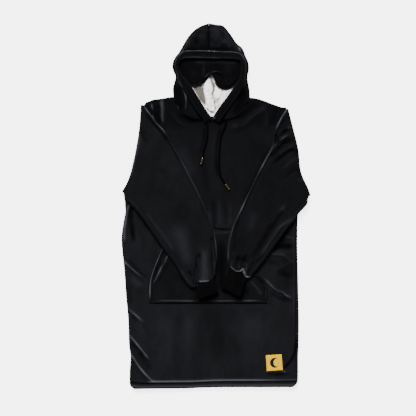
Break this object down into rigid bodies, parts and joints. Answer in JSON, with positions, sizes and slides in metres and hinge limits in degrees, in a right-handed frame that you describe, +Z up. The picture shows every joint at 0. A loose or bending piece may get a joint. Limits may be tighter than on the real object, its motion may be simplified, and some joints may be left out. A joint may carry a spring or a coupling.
{
  "type": "oversized hoodie, laid flat",
  "caption": "Long oversized pile-fleece hoodie laid flat, sleeves folded over the front, pouch pocket, drawcords and a sleep mask hanging in the hood.",
  "frame": {"origin": "middle of the whole garment's box, on the surface it lies on", "axes": "+Z up out of the surface and the garment's front, +Y towards the hood, +X towards the wearer's left sleeve"},
  "size_m": [0.71, 1.3835, 0.0305],
  "materials": {
    "black_pile_fleece": "soft short pile, matt with a faint sheen",
    "black_rib_knit": "matt rib knit",
    "white_sherpa": "curled high pile, matt",
    "black_cord": "braided, matt",
    "brass": "satin",
    "yellow_twill": "woven, matt"
  },
  "bodies": {
    "root": {"back_body": "black_pile_fleece", "front_body": "black_pile_fleece", "kangaroo_pocket": "black_pile_fleece", "right_sleeve": "black_pile_fleece", "left_sleeve": "black_pile_fleece", "right_cuff": "black_rib_knit", "left_cuff": "black_rib_knit", "right_hood_panel": "black_pile_fleece", "left_hood_panel": "black_pile_fleece", "right_hood_casing": "black_pile_fleece", "left_hood_casing": "black_pile_fleece", "right_hood_lining": "white_sherpa", "left_hood_lining": "white_sherpa", "eye_mask": "black_pile_fleece", "right_drawcord": "black_cord", "left_drawcord": "black_cord", "right_aglet": "brass", "left_aglet": "brass", "patch": "yellow_twill"}
  },
  "joints": []
}
